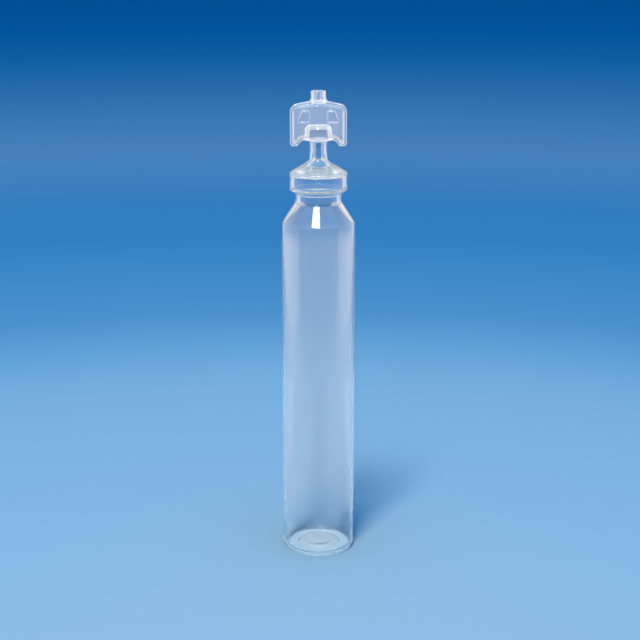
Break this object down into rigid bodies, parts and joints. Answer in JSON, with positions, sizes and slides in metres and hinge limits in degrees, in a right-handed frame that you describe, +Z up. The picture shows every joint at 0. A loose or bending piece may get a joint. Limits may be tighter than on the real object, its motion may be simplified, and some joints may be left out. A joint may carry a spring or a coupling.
{
  "type": "single-dose vial",
  "caption": "Clear round single-dose vial that stands on a push-up base, with a collared neck and a dropper nozzle closed by a flat winged twist-off tab.",
  "frame": {"origin": "on the floor, at the middle of the foot ring", "axes": "+Z up along the tube, X across the flat tab, the tab's front face towards -Y"},
  "size_m": [0.016, 0.016, 0.1037],
  "materials": {
    "clear_plastic": "clear, slightly milky polypropylene with a smooth moulded gloss"
  },
  "bodies": {
    "vial": {"tube": "clear_plastic", "base": "clear_plastic", "neck_collar": "clear_plastic", "nozzle": "clear_plastic"},
    "torn_lip": {"tear_ring": "clear_plastic"},
    "tab": {"sealing_bulb": "clear_plastic", "twist_tab": "clear_plastic", "filling_stub": "clear_plastic"}
  },
  "joints": [
    {"name": "tab_twist", "type": "hinge", "parent": "vial", "child": "torn_lip", "pos_m": [0, 0, 0.093], "axis": [0, 0, 1], "range_deg": [-180, 180]},
    {"name": "tab_pull", "type": "slide", "parent": "torn_lip", "child": "tab", "axis": [0, 0, 1], "range_m": [0, 0.02]}
  ]
}
